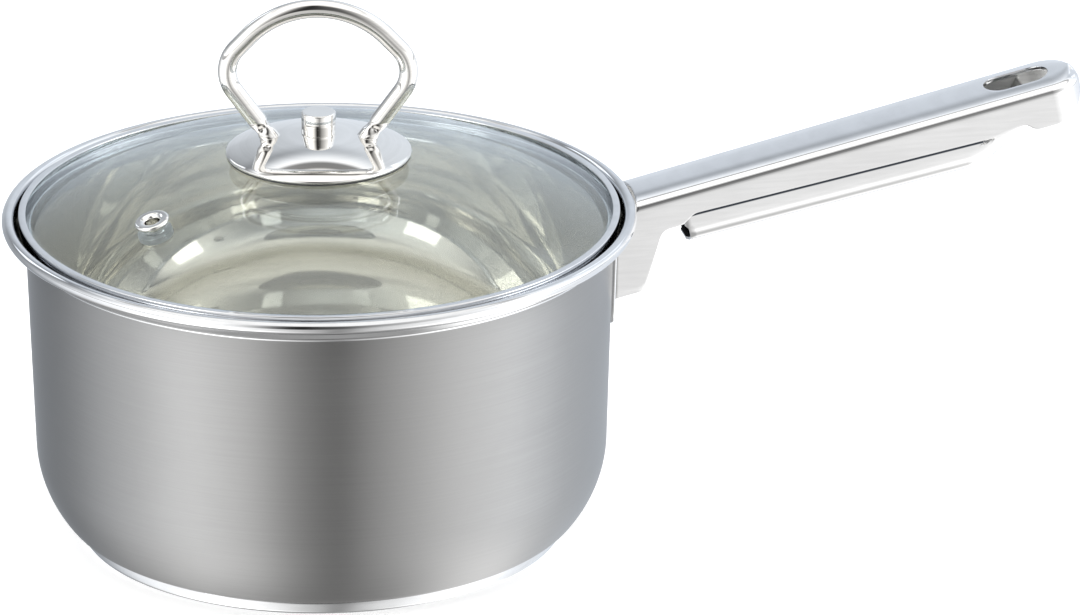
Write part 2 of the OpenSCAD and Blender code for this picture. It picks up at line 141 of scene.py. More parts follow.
def glow(centre, spread, strength):
    """A soft upright window of light, centred on a direction, in degrees from the front."""
    away = maths(sky, "WRAP", maths(sky, "SUBTRACT", turn, math.radians(centre)), math.pi, -math.pi)
    steps = maths(sky, "DIVIDE", away, math.radians(spread))
    bell = maths(sky, "EXPONENT", maths(sky, "MULTIPLY", maths(sky, "MULTIPLY", steps, steps), -0.5))
    return maths(sky, "MULTIPLY", bell, strength)


def strip(low, high, soft):
    """1 between two elevations, in degrees, and 0 outside them."""
    up = between(sky, lift, math.radians(low - soft), math.radians(low + soft))
    down = between(sky, lift, math.radians(high + soft), math.radians(high - soft))
    return maths(sky, "MULTIPLY", up, down)


room = maths(sky, "ADD", glow(-55, 33, 1.85), glow(100, 45, 1.75))
room = maths(sky, "ADD", room, 0.15)
wide_flag = maths(sky, "SUBTRACT", 1.0, glow(4, 17, 0.38))
thin_flag = maths(sky, "SUBTRACT", 1.0, glow(9, 5, 0.36))
room = maths(sky, "MULTIPLY", room, maths(sky, "MULTIPLY", wide_flag, thin_flag))
room = maths(sky, "MULTIPLY", room, 1.5)
sides = maths(sky, "ADD", glow(112, 34, 0.55), glow(-58, 30, 0.5))
low_screen = maths(sky, "MULTIPLY", sides, strip(-46, 6, 5))
room = maths(sky, "MULTIPLY", room, maths(sky, "SUBTRACT", 1.0, low_screen))
card = maths(sky, "MULTIPLY", glow(25, 9, 0.12), strip(-34, -8, 5))
room = maths(sky, "ADD", room, card)
print("room light ready")

# %% Hang windows in the room
def window(centre, half, low, high, strength):
    """A window of light with crisp edges, which mirrors show as bright patches."""
    away = maths(sky, "WRAP", maths(sky, "SUBTRACT", turn, math.radians(centre)), math.pi, -math.pi)
    away = maths(sky, "ABSOLUTE", away)
    across = between(sky, away, math.radians(half + 1.5), math.radians(half - 1.5))
    return maths(sky, "MULTIPLY", maths(sky, "MULTIPLY", across, strip(low, high, 1.5)), strength)


upper = maths(sky, "MULTIPLY", strip(10, 90, 4), 0.4)
room = maths(sky, "MULTIPLY", room, maths(sky, "SUBTRACT", 1.0, upper))
for centre, half, low, high, power in ((-58, 13, 16, 44, 2.6), (92, 15, 14, 42, 2.3),
                                       (148, 7, 20, 40, 1.5), (-138, 8, 18, 40, 1.6)):
    room = maths(sky, "ADD", room, window(centre, half, low, high, power))
print("four windows hung")

# %% Add the back wall, the overhead light and the dark strip
behind = maths(sky, "MULTIPLY", glow(168, 26, 1.0), strip(-32, 40, 7))
light = blend_of(sky, behind, room, 0.95)
overhead = between(sky, lift, math.radians(40), math.radians(52))
light = blend_of(sky, overhead, light, 1.35)
below = between(sky, lift, math.radians(-52), math.radians(-75))
light = blend_of(sky, below, light, 0.42)
mostly_left = maths(sky, "ADD", glow(-70, 32, 0.7), glow(110, 24, 0.5))
dark = maths(sky, "MULTIPLY", strip(1, 8, 1.2), mostly_left)
strength = maths(sky, "MULTIPLY", light, maths(sky, "SUBTRACT", 1.0, dark))
camera_shade = maths(sky, "MULTIPLY", glow(-6, 12, 0.94), strip(0, 56, 5))
strength = maths(sky, "MULTIPLY", strength, maths(sky, "SUBTRACT", 1.0, camera_shade))
crease = maths(sky, "MULTIPLY", glow(180, 50, 0.8), strip(52, 58, 1.5))
strength = maths(sky, "MULTIPLY", strength, maths(sky, "SUBTRACT", 1.0, crease))

cool = maths(sky, "MULTIPLY", glow(180, 60, 1.0), strip(-40, 50, 10))
tint = blend_of(sky, cool, (1.0, 0.99, 0.975, 1), (0.86, 0.92, 1.0, 1))
around = add_node(sky, "ShaderNodeBackground", {"Color": tint, "Strength": strength})
backdrop = add_node(sky, "ShaderNodeBackground", {"Color": (1, 1, 1, 1), "Strength": 1.05})
seen = add_node(sky, "ShaderNodeLightPath").outputs["Is Camera Ray"]
both = add_node(sky, "ShaderNodeMixShader", {0: seen, 1: around.outputs[0], 2: backdrop.outputs[0]})
add_node(sky, "ShaderNodeOutputWorld", {0: both.outputs[0]})
bpy.context.scene.view_settings.view_transform = "Standard"
print("studio has", len(sky.nodes), "nodes")

# %% [markdown]
# ## The floor
# A plain white table, lit a little from below, keeps only a faint shadow, so that the pan stands
# on something. Mirrors in
# the steel don't see it, because a floor so close would wash out the tones of the studio.

# %% Lay the floor
FLOOR_RADIUS = 4.0
floor_mesh = bpy.data.meshes.new("floor")
drawing = bmesh.new()
bmesh.ops.create_circle(drawing, cap_ends=True, segments=96, radius=FLOOR_RADIUS)
drawing.to_mesh(floor_mesh)
drawing.free()
floor = bpy.data.objects.new("floor", floor_mesh)
floor.visible_glossy = False
bpy.context.collection.objects.link(floor)

paper = bpy.data.materials.new("white_paper")
paper.use_nodes = True
shader = paper.node_tree.nodes["Principled BSDF"]
shader.inputs["Roughness"].default_value = 0.9
shader.inputs["Specular IOR Level"].default_value = 0.1
grain = add_node(paper.node_tree, "ShaderNodeTexNoise", {"Scale": 6.0, "Detail": 3.0}).outputs[0]
shade = blend_of(paper.node_tree, grain, (0.955, 0.955, 0.955, 1), (0.975, 0.975, 0.975, 1))
paper.node_tree.links.new(shade, shader.inputs["Base Color"])
shader.inputs["Emission Color"].default_value = (1, 1, 1, 1)
shader.inputs["Emission Strength"].default_value = 0.42
floor_mesh.materials.append(paper)
print("floor laid")

# %% [markdown]
# ## Metal finishes
# All the metal here is one shader with different settings: a grey base, a roughness and a
# surface. What tells the finishes apart is the fine detail. Brushing leaves hair-thin lines
# that run round the pan, so its highlights are drawn out upright. Polishing leaves faint
# scratches and a slight waviness. Noise squeezed along one direction gives both.

# %% A recipe for a metal finish
def metal(name, colour, roughness, spread=0.04, lines=0.0, waves=0.0, drawn_out=0.0,
          around=30.0, along=2600.0, metallic=1.0):
    """A metal with streaks that run round Z, a varied roughness and a gentle waviness."""
    made = bpy.data.materials.new(name)
    made.use_nodes = True
    tree = made.node_tree
    shader = tree.nodes["Principled BSDF"]
    shader.inputs["Metallic"].default_value = metallic
    place = add_node(tree, "ShaderNodeTexCoord").outputs["Object"]
    squeezed = add_node(tree, "ShaderNodeMapping", {"Vector": place, "Scale": (around, around, along)})
    streaks = add_node(tree, "ShaderNodeTexNoise",
                       {"Vector": squeezed.outputs[0], "Scale": 1.0, "Detail": 4.0}).outputs[0]
    clouds = add_node(tree, "ShaderNodeTexNoise",
                      {"Vector": place, "Scale": 38.0, "Detail": 5.0, "Roughness": 0.6}).outputs[0]
    mix = blend_of(tree, 0.5, streaks, clouds)
    rough = add_node(tree, "ShaderNodeMapRange", {0: mix, 1: 0.3, 2: 0.7, 3: roughness - spread,
                     4: roughness + spread}).outputs[0]
    tree.links.new(rough, shader.inputs["Roughness"])
    darker = tuple(0.9 * c for c in colour) + (1,)
    tone = blend_of(tree, between(tree, mix, 0.3, 0.7), darker, tuple(colour) + (1,))
    tree.links.new(tone, shader.inputs["Base Color"])
    bent = add_node(tree, "ShaderNodeTexNoise", {"Vector": place, "Scale": 26.0, "Detail": 1.0})
    wave = add_node(tree, "ShaderNodeBump",
                    {"Strength": 1.0, "Distance": waves * MM, "Height": bent.outputs[0]})
    line = add_node(tree, "ShaderNodeBump",
                    {"Strength": 1.0, "Distance": lines * MM, "Height": streaks,
                     "Normal": wave.outputs[0]})
    tree.links.new(line.outputs[0], shader.inputs["Normal"])
    if drawn_out:
        shader.inputs["Anisotropic"].default_value = drawn_out
        shader.inputs["Anisotropic Rotation"].default_value = 0.25
        ring = add_node(tree, "ShaderNodeTangent", direction_type="RADIAL", axis="Z")
        tree.links.new(ring.outputs[0], shader.inputs["Tangent"])
    print("finish:", name)
    return made


brushed_steel = metal("brushed_steel", (0.385, 0.386, 0.388), 0.40, lines=0.003, drawn_out=0.94)
polished_steel = metal("polished_steel", (0.74, 0.75, 0.765), 0.07, spread=0.03, waves=0.03,
                       lines=0.0006, around=200, along=900)
inner_steel = metal("inner_steel", (0.87, 0.855, 0.80), 0.03, spread=0.015, lines=0.0002,
                    waves=0.10, metallic=0.78)
satin_steel = metal("satin_steel", (0.66, 0.675, 0.70), 0.17, lines=0.0015, around=60, along=1500)
bright_plating = metal("bright_plating", (0.88, 0.87, 0.85), 0.025, spread=0.015, waves=0.008)
handle_steel = metal("handle_steel", (0.88, 0.885, 0.895), 0.08, spread=0.01, waves=0.03,
                     lines=0.00005, around=60, along=900)
pale_steel = metal("pale_steel", (0.90, 0.90, 0.89), 0.5, lines=0.002)
# Near-black steel: painted shade for the inside of the hollow handle.
hollow_shade_steel = metal("hollow_shade_steel", (0.030, 0.030, 0.031), 0.6, lines=0.004)
core_aluminium = metal("core_aluminium", (0.74, 0.75, 0.76), 0.38, lines=0.004)

# %% [markdown]
# ## Glass and silicone
# The lid is clear tempered glass with a faint green-grey tint. It is mixed from a clear shader,
# which lets the studio light into the pan, and a mirror that grows towards grazing angles.
# The seals are dark silicone, which is matt and slightly dusty.

# %% Mix the glass
lid_clear = bpy.data.materials.new("lid_clear_glass")
lid_clear.use_nodes = True
tree = lid_clear.node_tree
tree.nodes.clear()
place = add_node(tree, "ShaderNodeTexCoord").outputs["Object"]
ripple = add_node(tree, "ShaderNodeTexNoise", {"Vector": place, "Scale": 18.0, "Detail": 1.0})
bump = add_node(tree, "ShaderNodeBump",
                {"Strength": 1.0, "Distance": 0.02 * MM, "Height": ripple.outputs[0]})
inner_side = add_node(tree, "ShaderNodeNewGeometry").outputs["Backfacing"]
density = blend_of(tree, inner_side, 1.52, 1 / 1.52)
edge = add_node(tree, "ShaderNodeFresnel", {"IOR": density, "Normal": bump.outputs[0]})
film = add_node(tree, "ShaderNodeTexNoise", {"Vector": place, "Scale": 60.0, "Detail": 4.0})
haze = add_node(tree, "ShaderNodeMapRange", {0: film.outputs[0], 3: 0.0, 4: 0.03})
clear = add_node(tree, "ShaderNodeBsdfTransparent", {"Color": (0.955, 0.968, 0.962, 1)})
mirror = add_node(tree, "ShaderNodeBsdfGlossy", {"Color": (0.93, 0.97, 1.0, 1),
                  "Roughness": haze.outputs[0], "Normal": bump.outputs[0]})
glass = add_node(tree, "ShaderNodeMixShader", {0: edge.outputs[0], 1: clear.outputs[0],
                 2: mirror.outputs[0]})
add_node(tree, "ShaderNodeOutputMaterial", {0: glass.outputs[0]})
print("glass mixed")

# %% Mix the silicone
silicone = bpy.data.materials.new("soft_silicone")
silicone.use_nodes = True
tree = silicone.node_tree
shader = tree.nodes["Principled BSDF"]
place = add_node(tree, "ShaderNodeTexCoord").outputs["Object"]
dust = add_node(tree, "ShaderNodeTexNoise", {"Vector": place, "Scale": 900.0, "Detail": 4.0})
tone = blend_of(tree, dust.outputs[0], (0.035, 0.036, 0.038, 1), (0.075, 0.076, 0.078, 1))
tree.links.new(tone, shader.inputs["Base Color"])
rough = add_node(tree, "ShaderNodeMapRange", {0: dust.outputs[0], 3: 0.5, 4: 0.75})
tree.links.new(rough.outputs[0], shader.inputs["Roughness"])
bump = add_node(tree, "ShaderNodeBump",
                {"Strength": 0.6, "Distance": 0.02 * MM, "Height": dust.outputs[0]})
tree.links.new(bump.outputs[0], shader.inputs["Normal"])
pale_silicone = silicone.copy()
pale_silicone.name = "pale_silicone"
for node in pale_silicone.node_tree.nodes:
    if node.bl_idname == "ShaderNodeMix":
        node.inputs[6].default_value = (0.42, 0.44, 0.45, 1)
        node.inputs[7].default_value = (0.55, 0.57, 0.58, 1)
print("silicone mixed")

# %% [markdown]
# ## Spun pieces
# The pan, its base, the lid ring, the plate of the knob and its nut are all round about one
# axis. Each is a section line turned about Z, which is what spinning and deep drawing do to the
# metal. Corners are never left sharp: a small arc gives each edge the highlight of real sheet.

# %% Helpers for section lines
def arc(centre, radius, start, end, steps=8):
    """Points along an arc of a section, with angles in degrees."""
    angles = [math.radians(start + (end - start) * i / steps) for i in range(steps + 1)]
    return [(centre[0] + radius * math.cos(a), centre[1] + radius * math.sin(a)) for a in angles]


def eased(points, radius, steps=4, closed=False):
    """The same line with its corners rounded off."""
    made = []
    count = len(points)
    for i, point in enumerate(points):
        if not closed and i in (0, count - 1):
            made.append(tuple(point))
            continue
        here = Vector(point)
        back = Vector(points[i - 1]) - here
        ahead = Vector(points[(i + 1) % count]) - here
        cut = min(radius, 0.45 * back.length, 0.45 * ahead.length)
        first = here + cut * back.normalized()
        last = here + cut * ahead.normalized()
        for k in range(steps + 1):
            t = k / steps
            made.append(tuple((1 - t) ** 2 * first + 2 * t * (1 - t) * here + t * t * last))
    return made


print(len(eased([(0, 0), (1, 0), (1, 1)], 0.2)), "points in an eased corner")


# %% Helpers that turn a section into a piece
def finish_piece(name, mesh, body, nodes, place=None):
    """Adds a mesh to the scene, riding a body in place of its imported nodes."""
    if place is not None:
        mesh.transform(place)
    piece = bpy.data.objects.new(name, mesh)
    bpy.context.collection.objects.link(piece)
    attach(piece, body)
    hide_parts(*nodes)
    print(name, "has", len(mesh.polygons), "faces")
    return piece


def lathe(name, section, finishes, turns=192, closed=False, finish_of=None):
    """Turns a section of (radius, height), in millimetres, about Z."""
    mesh = bpy.data.meshes.new(name)
    spin = bmesh.new()
    rings = []
    for radius, height in section:
        if radius < 1e-6:
            rings.append([spin.verts.new((0, 0, height * MM))] * turns)
            continue
        rings.append([spin.verts.new((radius * math.cos(a) * MM, radius * math.sin(a) * MM, height * MM))
                      for a in (2 * math.pi * k / turns for k in range(turns))])
    pairs = list(zip(rings, rings[1:] + rings[:1]))
    for i, (low, high) in enumerate(pairs if closed else pairs[:-1]):
        for k in range(turns):
            m = (k + 1) % turns
            corners = [low[k], low[m], high[m], high[k]]
            corners = [c for j, c in enumerate(corners) if c not in corners[:j]]
            if len(corners) > 2:
                face = spin.faces.new(corners)
                face.smooth = True
                face.material_index = finish_of(i) if finish_of else 0
    bmesh.ops.recalc_face_normals(spin, faces=spin.faces)
    spin.to_mesh(mesh)
    spin.free()
    for finish in finishes:
        mesh.materials.append(finish)
    return mesh


print("lathe ready")

# %% [markdown]
# ## The pan
# The wall leans in by less than two degrees and turns into the flat bottom through a wide bend
# and a tight one. At the top the sheet flares out to carry the lid, then curls over into a
# closed-looking bead. One section line follows the sheet all the way: up the outside, round the
# curl, and down the inside. The outside is brushed, the rim polished, the inside polished too.

# %% Draw the section of the pan
rim_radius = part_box("pan_shell")[1][0] / MM
rim_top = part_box("pan_shell")[1][2] / MM
pan_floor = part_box("pan_shell")[0][2] / MM
WALL_RADIUS = 80.6
WALL_LEAN = math.radians(1.7)
SHEET = 0.8
BEND = 32.5
BEND_HEIGHT = 26.5
HEEL = 8.0
CURL = 1.75
FLARE_FOOT = rim_top - 7.0

curl_centre = (rim_radius - CURL, rim_top - CURL)


def wall_radius(height):
    """Radius of the outside of the wall at a height."""
    return WALL_RADIUS - (FLARE_FOOT - height) * math.tan(WALL_LEAN)


bend_centre = (wall_radius(BEND_HEIGHT) - BEND / math.cos(WALL_LEAN), BEND_HEIGHT)
heel_turn = math.asin((BEND_HEIGHT - pan_floor - HEEL) / (BEND - HEEL))
heel_centre = (bend_centre[0] + (BEND - HEEL) * math.cos(heel_turn), pan_floor + HEEL)
heel_degrees = math.degrees(heel_turn)


def wall_line(inset):
    """The sheet from the axis up to the flare, on the surface that lies inset from the outside."""
    line = [(0, pan_floor + inset), (30, pan_floor + inset)]
    line += arc(heel_centre, HEEL - inset, -90, -heel_degrees, 10)
    line += arc(bend_centre, BEND - inset, -heel_degrees, -math.degrees(WALL_LEAN), 28)[1:]
    top = wall_radius(FLARE_FOOT) - inset
    line += [(top - (top - line[-1][0]) * (1 - t), line[-1][1] + (FLARE_FOOT - line[-1][1]) * t)
             for t in (0.1, 0.5, 0.9, 0.98)]
    return line + [(top, FLARE_FOOT)]


print("wall line has", len(wall_line(0)), "points")

# %% Spin the pan
outside = wall_line(0)
curl_end = -100
flare = [outside[-1], (curl_centre[0] + SHEET - CURL, curl_centre[1] - SHEET)]
flare = eased([outside[-2], flare[0], flare[1]], 0.35, 3)[1:]
inner_curl = arc(curl_centre, CURL - SHEET, 180, curl_end, 20)
outer_curl = arc(curl_centre, CURL, curl_end, 180, 40)
inside = [(r, z) for r, z in reversed(wall_line(SHEET))]
section = outside[:-1] + flare + inner_curl[1:] + outer_curl + inside
brushed_until = len(outside)
polished_until = brushed_until + len(flare) + len(inner_curl) + len(outer_curl) - 2


def pan_finish(i):
    """Brushed outside, polished rim, polished inside."""
    return 0 if i < brushed_until - 1 else 1 if i < polished_until else 2


pan_mesh = lathe("pan_body", section, [brushed_steel, polished_steel, inner_steel], turns=256,
                 finish_of=pan_finish)
pan_body = finish_piece("pan_body", pan_mesh, "pan", ["pan_shell"])

# %% [markdown]
# ## The base
# A steel cap holds an aluminium disc against the bottom of the pan. Its edge is polished and
# rounded below, and its top edge is pressed tight against the bend of the pan. Its middle is
# pressed in by a quarter of a millimetre.

# %% Spin the base cap
base_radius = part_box("base_cap")[1][0] / MM
CAP_ROUND = 1.2
cap_meets = next(z for r, z in reversed(wall_line(0)) if r <= base_radius)
step = 0.02
while math.hypot(base_radius - heel_centre[0], cap_meets - heel_centre[1]) > HEEL and \
        math.hypot(base_radius - bend_centre[0], cap_meets - bend_centre[1]) > BEND:
    cap_meets += step
cap_section = [(0, 0.25), (10, 0.25), (10.4, 0.0), (base_radius - CAP_ROUND, 0)]
cap_section += arc((base_radius - CAP_ROUND, CAP_ROUND), CAP_ROUND, -90, 0, 8)[1:]
cap_section += [(base_radius, cap_meets - 0.3), (base_radius - 0.1, cap_meets - 0.08),
                (base_radius - 0.5, cap_meets - 0.12)]
cap_mesh = lathe("base_cap_turned", cap_section, [polished_steel], turns=256)
base = finish_piece("base_cap_turned", cap_mesh, "pan", ["base_cap"])
print("cap meets the pan at", round(cap_meets, 2), "mm")

# %% [markdown]
# ## The lid ring
# A thin steel strip is rolled round the edge of the glass: flat below, upright outside, and
# folded over the top. A short skirt drops into the pan and keeps the lid centred.

# %% Spin the lid ring
ring_low, ring_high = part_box("lid_ring")
ring_radius = ring_high[0] / MM
RING_SHEET = 0.5
BAND = 2.0
SKIRT = 4.6
seat = ring_low[2] / MM + SKIRT
ring_top = ring_high[2] / MM
skirt_radius = WALL_RADIUS - SHEET - 0.4
ring_section = eased([
    (skirt_radius - RING_SHEET, seat - SKIRT), (skirt_radius, seat - SKIRT), (skirt_radius, seat),
    (ring_radius, seat), (ring_radius, ring_top), (ring_radius - BAND, ring_top),
    (ring_radius - BAND, ring_top - RING_SHEET), (ring_radius - RING_SHEET, ring_top - RING_SHEET),
    (ring_radius - RING_SHEET, seat + RING_SHEET), (skirt_radius - RING_SHEET, seat + RING_SHEET)],
    0.3, 3, closed=True)
ring_mesh = lathe("lid_ring_rolled", ring_section, [polished_steel], turns=256, closed=True)
finish_piece("lid_ring_rolled", ring_mesh, "lid", ["lid_ring"])

# %% [markdown]
# ## The knob
# A dished plate of chromed steel stands on a silicone seal. Its surface is part of a ball, so
# one arc is enough for the section. A cap nut in the middle hides the end of the screw.

# %% Spin the dished plate and the nut
plate_low, plate_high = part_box("knob_plate")
plate_radius = plate_high[0] / MM
plate_foot = plate_low[2] / MM
plate_top_at_hole = plate_high[2] / MM
PLATE_SHEET = 0.8
HOLE = 2.15
PLATE_BALL = 63.515
ball_height = plate_top_at_hole - math.sqrt(PLATE_BALL ** 2 - HOLE ** 2)


def on_plate(radius, inset=0.0):
    """Height of the plate at a distance from its middle."""
    return ball_height + math.sqrt((PLATE_BALL - inset) ** 2 - radius ** 2)


edge_radius = plate_radius - 0.01
steps = 30
top_line = [(r, on_plate(r)) for r in
            (HOLE + (edge_radius - 0.45 - HOLE) * k / steps for k in range(steps + 1))]
low_line = [(r, max(plate_foot, on_plate(r, PLATE_SHEET))) for r in
            (edge_radius - 0.3 - (edge_radius - 0.3 - HOLE) * k / steps for k in range(steps + 1))]
rolled = [(edge_radius - 0.14, on_plate(edge_radius) - 0.02), (edge_radius, on_plate(edge_radius) - 0.22),
          (edge_radius, plate_foot + 0.22), (edge_radius - 0.12, plate_foot + 0.04)]
dish_mesh = lathe("knob_dish", top_line + rolled + low_line, [bright_plating], turns=224, closed=True)
finish_piece("knob_dish", dish_mesh, "lid", ["knob_plate"])

nut_low, nut_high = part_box("cap_nut")
nut_radius = nut_high[0] / MM
nut_top = nut_high[2] / MM
nut_foot = on_plate(nut_radius)
nut_section = [(1.9, on_plate(1.9)), (nut_radius - 0.02, nut_foot + 0.01), (nut_radius, nut_foot + 0.05),
               (nut_radius, nut_top - 0.45)]
nut_section += arc((nut_radius - 0.45, nut_top - 0.45), 0.45, 0, 90, 5)[1:]
nut_section += [(nut_radius - 1.2, nut_top - 0.01), (0, nut_top)]
nut_mesh = lathe("cap_nut_turned", nut_section, [bright_plating], turns=96)
finish_piece("cap_nut_turned", nut_mesh, "lid", ["cap_nut"])

# %% [markdown]
# ## The steam vent
# The eyelet is one small tube with a rounded flange on the glass and a rolled lip below. It
# stands square to the dome, so it is turned upright first and then leaned over into place.

# %% Turn the eyelet and lean it on the dome
VENT_AT = 56.0
VENT_TURN = math.radians(218)
glass_ball = 185.49
ball_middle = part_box("lid_glass")[1][2] / MM - math.sqrt(glass_ball ** 2 - 4.0 ** 2)
lean = math.asin(VENT_AT / glass_ball)
on_dome = (Matrix.Rotation(VENT_TURN, 4, "Z") @ Matrix.Translation((0, 0, ball_middle * MM))
           @ Matrix.Rotation(lean, 4, "Y") @ Matrix.Translation((0, 0, glass_ball * MM)))
under = -2.6 - 2.2
eyelet_section = [(2.0, under), (3.6, under), (3.6, under + 0.5), (3.0, under + 0.5), (3.0, 0.02),
                  (4.78, 0.02), (4.8, 0.3)]
eyelet_section += arc((4.1, 0.3), 0.7, 0, 90, 6)[1:]
eyelet_section += [(3.2, 0.98), (2.6, 0.8), (2.15, 0.4), (2.0, 0.0)]
eyelet_mesh = lathe("vent_eyelet_rolled", eased(eyelet_section, 0.12, 2, closed=True),
                    [bright_plating], turns=72, closed=True)
finish_piece("vent_eyelet_rolled", eyelet_mesh, "lid", ["vent_eyelet"], on_dome)

# %% [markdown]
# ## The glass
# The dome is part of a large ball with a flat edge for the ring to grip. It has two holes: one
# in the middle for the knob and one for the vent. The vent's hole isn't on the axis, so it is
# cut out of the spun dome with a small plug.

# %% Spin the dome and cut the vent's hole
GLASS = 2.6
glass_low, glass_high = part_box("lid_glass")
glass_radius = glass_high[0] / MM
glass_foot = glass_low[2] / MM
dome_edge = glass_radius - 2.4


def on_glass(radius, inset=0.0):
    """Height of the dome at a distance from its middle."""
    return ball_middle + math.sqrt((glass_ball - inset) ** 2 - radius ** 2)


inner_edge = math.sqrt((glass_ball - GLASS) ** 2 - (glass_foot - ball_middle) ** 2)
outer_line = [(r, on_glass(r)) for r in (4.0 + (dome_edge - 4.0) * k / 60 for k in range(61))]
inner_line = [(r, on_glass(r, GLASS)) for r in (inner_edge - (inner_edge - 4.0) * k / 60 for k in range(61))]
edge_line = eased([outer_line[-2], outer_line[-1], (glass_radius, glass_foot + GLASS),
                   (glass_radius, glass_foot), inner_line[0], inner_line[1]], 0.5, 4)
dome_section = outer_line[:-2] + edge_line + inner_line[2:]
dome_mesh = lathe("lid_glass_dome", dome_section, [lid_clear], turns=256, closed=True)
plug_mesh = lathe("vent_plug", [(0, -4), (3.1, -4), (3.1, 2), (0, 2)], [lid_clear], turns=48)
plug_mesh.transform(on_dome)
plug = bpy.data.objects.new("vent_plug", plug_mesh)
drilled = bpy.data.objects.new("drilled", dome_mesh)
for part in (plug, drilled):
    bpy.context.collection.objects.link(part)
drill = drilled.modifiers.new("vent_hole", "BOOLEAN")
drill.object = plug
drill.operation = "DIFFERENCE"
drill.solver = "EXACT"
done = drilled.evaluated_get(bpy.context.evaluated_depsgraph_get())
dome_mesh = bpy.data.meshes.new_from_object(done)
bpy.data.objects.remove(plug)
bpy.data.objects.remove(drilled)
for face in dome_mesh.polygons:
    face.use_smooth = True
dome_mesh.name = "lid_glass_dome"
finish_piece("lid_glass_dome", dome_mesh, "lid", ["lid_glass"])

# %% [markdown]
# ## The loop of the knob
# A steel rod is bent into a loop with a round top, two tight shoulders and legs that lean
# inwards. Just above the plate each leg is pressed in from four sides, which leaves a narrow
# star-shaped neck. The loop is a ring of points carried along the path of the rod.

# %% Follow the path of the rod
ROD = 2.6
SIDE_BEND = 9.6
TOP_BEND = 26.0
SHOULDER = math.radians(46.5)
LEG_LEAN = math.radians(35.7)
FOOT_AT = 13.4
side_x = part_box("knob_loop")[1][0] / MM - ROD - SIDE_BEND
arch_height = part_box("knob_loop")[1][2] / MM - ROD - TOP_BEND
foot_height = on_plate(FOOT_AT)
leg_length = (side_x + SIDE_BEND * math.cos(LEG_LEAN) - FOOT_AT) / math.sin(LEG_LEAN)
side_height = foot_height + leg_length * math.cos(LEG_LEAN) + SIDE_BEND * math.sin(LEG_LEAN)
leg_top = (side_x + SIDE_BEND * math.cos(LEG_LEAN), side_height - SIDE_BEND * math.sin(LEG_LEAN))


def half_loop():
    """Half of the path from the top to the foot: x, height, and the direction square to it."""
    path = []
    for k in range(28):
        a = math.pi / 2 - SHOULDER * k / 28
        path.append((TOP_BEND * math.cos(a), arch_height + TOP_BEND * math.sin(a), a))
    for k in range(41):
        a = math.pi / 2 - SHOULDER - (math.pi / 2 - SHOULDER + LEG_LEAN) * k / 40
        path.append((side_x + SIDE_BEND * math.cos(a), side_height + SIDE_BEND * math.sin(a), a))
    for k in range(1, 49):
        d = (leg_length + ROD) * k / 48
        path.append((leg_top[0] - d * math.sin(LEG_LEAN), leg_top[1] - d * math.cos(LEG_LEAN),
                     -LEG_LEAN))
    return path


print("half of the loop has", len(half_loop()), "stations")

# %% Sweep the rod
ROD_SIDES = 48
half = half_loop()
stations = [(p, -1) for p in reversed(half)] + [(p, 1) for p in half[1:]]
sweep = bmesh.new()
rings = []
for (x, height, square), side in stations:
    up = height - foot_height
    pinch = 0.9 * math.exp(-((up - 2.6) / 0.9) ** 2)
    ring = []
    for k in range(ROD_SIDES):
        a = 2 * math.pi * k / ROD_SIDES
        r = ROD - pinch * (1 + 0.6 * math.cos(4 * a)) / 1.6
        across = r * math.cos(a)
        at = Vector((side * (x + across * math.cos(square)), r * math.sin(a),
                     height + across * math.sin(square)))
        floor_here = on_plate(min(math.hypot(at.x, at.y), plate_radius - 1))
        at.z = max(at.z, floor_here - 0.05)
        ring.append(sweep.verts.new(at * MM))
    rings.append(ring)
for low, high in zip(rings, rings[1:]):
    for k in range(ROD_SIDES):
        m = (k + 1) % ROD_SIDES
        sweep.faces.new((low[k], low[m], high[m], high[k])).smooth = True
bmesh.ops.recalc_face_normals(sweep, faces=sweep.faces)
loop_mesh = bpy.data.meshes.new("knob_loop_bent")
sweep.to_mesh(loop_mesh)
sweep.free()
loop_mesh.materials.append(bright_plating)
finish_piece("knob_loop_bent", loop_mesh, "lid", ["knob_loop"])

# %% [markdown]
# ## The plate at the root of the handle
# The handle isn't welded straight to the thin wall. A small plate, bent to the curve of the
# wall, spreads the load. It is one curved patch with rounded corners and eased edges.

# %% Bend the plate to the wall
HANDLE_TURN = math.radians(12)
PLATE_HIGH = rim_top - 8.5
PLATE_LOW = PLATE_HIGH - 27.5
PLATE_THICK = 1.2
plate_half = math.asin(31.0 / 2 / WALL_RADIUS)
CORNER = 3.5
half_width = plate_half * WALL_RADIUS
half_height = (PLATE_HIGH - PLATE_LOW) / 2
outline = eased([(-half_width, -half_height), (half_width, -half_height), (half_width, half_height),
                 (-half_width, half_height)], 2 * CORNER, 8, closed=True)


def on_wall(across, up, out):
    """A point on the wall: millimetres round it, up from the middle of the plate, and outwards."""
    height = (PLATE_HIGH + PLATE_LOW) / 2 + up
    angle = HANDLE_TURN + across / WALL_RADIUS
    radius = wall_radius(height) + out
    return Vector((radius * math.cos(angle), radius * math.sin(angle), height)) * MM


pad = bmesh.new()
LAYERS = [(0.0, 0.0), (0.0, PLATE_THICK - 0.35), (0.1, PLATE_THICK - 0.1), (0.35, PLATE_THICK)]
loops = []
for inset, out in LAYERS:
    loops.append([pad.verts.new(on_wall(x * (1 - inset / half_width), y * (1 - inset / half_height), out))
                  for x, y in outline])
for share in (0.75, 0.5, 0.25):
    loops.append([pad.verts.new(on_wall(x * share, y * share, PLATE_THICK)) for x, y in outline])
for low, high in zip(loops, loops[1:]):
    for k in range(len(outline)):
        m = (k + 1) % len(outline)
        pad.faces.new((low[k], low[m], high[m], high[k])).smooth = True
middle = pad.verts.new(on_wall(0, 0, PLATE_THICK))
back = pad.verts.new(on_wall(0, 0, 0))
for k in range(len(outline)):
    m = (k + 1) % len(outline)
    pad.faces.new((loops[-1][k], loops[-1][m], middle)).smooth = True
    pad.faces.new((loops[0][m], loops[0][k], back)).smooth = True
